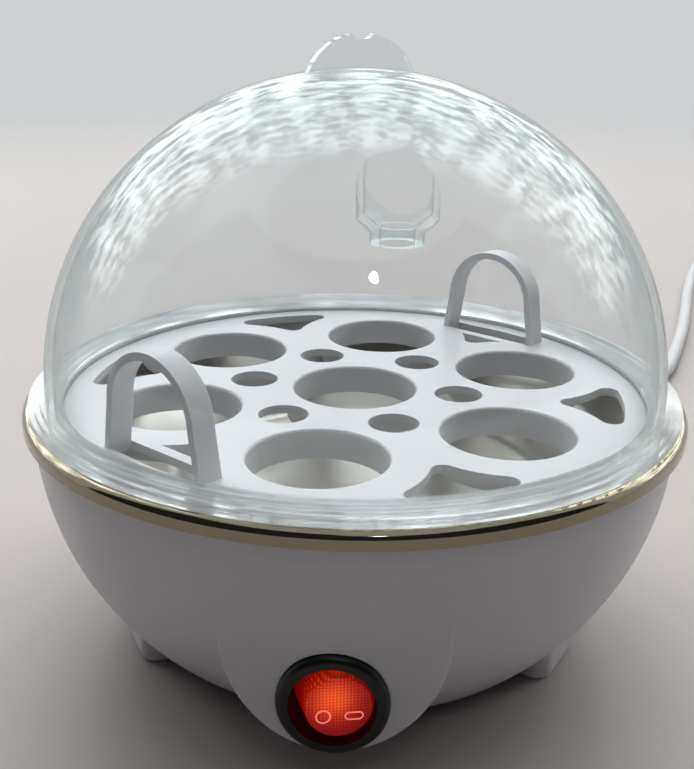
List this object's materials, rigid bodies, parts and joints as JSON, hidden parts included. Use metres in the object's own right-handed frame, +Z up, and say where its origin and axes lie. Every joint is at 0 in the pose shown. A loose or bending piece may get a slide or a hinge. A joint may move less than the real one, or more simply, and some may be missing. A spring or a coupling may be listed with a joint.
{
  "type": "egg boiler",
  "caption": "Electric egg boiler with a clear dome lid, lift-out egg tray, polished steel water pan, white bowl base, lit rocker switch and mains lead.",
  "frame": {"origin": "on the table, under the dome's axis", "axes": "+Z up along the dome's axis, -Y towards the front, where the switch is, +X to the right of someone facing the switch"},
  "size_m": [0.3479, 0.5127, 0.1406],
  "materials": {
    "white_shell": "moulded white, soft gloss",
    "white_tray": "moulded white, fine matte",
    "polished_steel": "pressed and mirror polished",
    "clear_lid": "clear moulded, polished",
    "aluminium_plate": "turned, bare",
    "heater_sheath": "annealed sheath, dull",
    "plated_steel": "zinc plated",
    "dark_phenolic": "moulded, matte",
    "brass_contact": "stamped, bare",
    "fuse_sleeve": "woven glass sleeve",
    "black_plastic": "moulded black, satin",
    "red_clear": "translucent red, lit from inside",
    "nylon": "moulded natural nylon",
    "lamp_glass": "clear neon bulb",
    "resistor_coat": "lacquered",
    "white_cord": "soft white sheath",
    "white_plug": "moulded white",
    "plated_brass": "nickel plated",
    "wire_red": "insulated wire",
    "wire_brown": "insulated wire",
    "wire_blue": "insulated wire"
  },
  "bodies": {
    "base": {"base_shell": "white_shell", "water_pan": "polished_steel", "heat_plate": "aluminium_plate", "heater_tube": "heater_sheath", "heater_pins": "plated_steel", "heater_tabs": "plated_steel", "thermostat_cap": "aluminium_plate", "thermostat_flange": "plated_steel", "thermostat_screws": "plated_steel", "thermostat_body": "dark_phenolic", "thermostat_tabs": "brass_contact", "thermal_fuse": "fuse_sleeve", "fuse_clip": "plated_steel", "pan_standoffs": "plated_steel", "bottom_cover": "white_shell", "cover_screws": "plated_steel", "switch_bezel": "black_plastic", "switch_blades": "brass_contact", "switch_lamp": "lamp_glass", "lamp_resistor": "resistor_coat", "blade_sleeves": "nylon", "joint_cap": "nylon", "strain_relief": "white_cord", "cord_inner": "white_cord", "cord_grip": "nylon", "grip_screws": "plated_steel", "cord_stretch": "white_cord", "cord_coil": "white_cord", "cord_tail": "white_cord", "coil_tie": "black_plastic", "plug_body": "white_plug", "plug_pins": "plated_brass", "switched_lead": "wire_red", "live_lead": "wire_brown", "lamp_lead": "wire_blue", "fuse_lead": "wire_red", "heater_lead": "wire_red", "neutral_lead": "wire_blue", "neutral_core": "wire_blue"},
    "tray": {"egg_tray": "white_tray"},
    "lid": {"lid": "clear_lid"},
    "rocker": {"switch_rocker": "red_clear", "switch_plunger": "nylon"},
    "lever": {"contact_lever": "brass_contact"}
  },
  "joints": [
    {"name": "tray_lift", "type": "slide", "parent": "base", "child": "tray", "axis": [0, 0, 1], "range_m": [0, 0.1]},
    {"name": "lid_lift", "type": "slide", "parent": "tray", "child": "lid", "axis": [0, 0, 1], "range_m": [0, 0.12]},
    {"name": "switch_rock", "type": "hinge", "parent": "base", "child": "rocker", "pos_m": [0, -0.0668, 0.0199], "axis": [0, 0, 1], "range_deg": [-21, 0]},
    {"name": "lever_tip", "type": "hinge", "parent": "base", "child": "lever", "pos_m": [0, -0.0588, 0.0199], "axis": [0, 0, 1], "range_deg": [0, 8]}
  ],
  "couplings": [
    {"joint": "lever_tip", "follows": "switch_rock", "ratio": -0.38095}
  ]
}
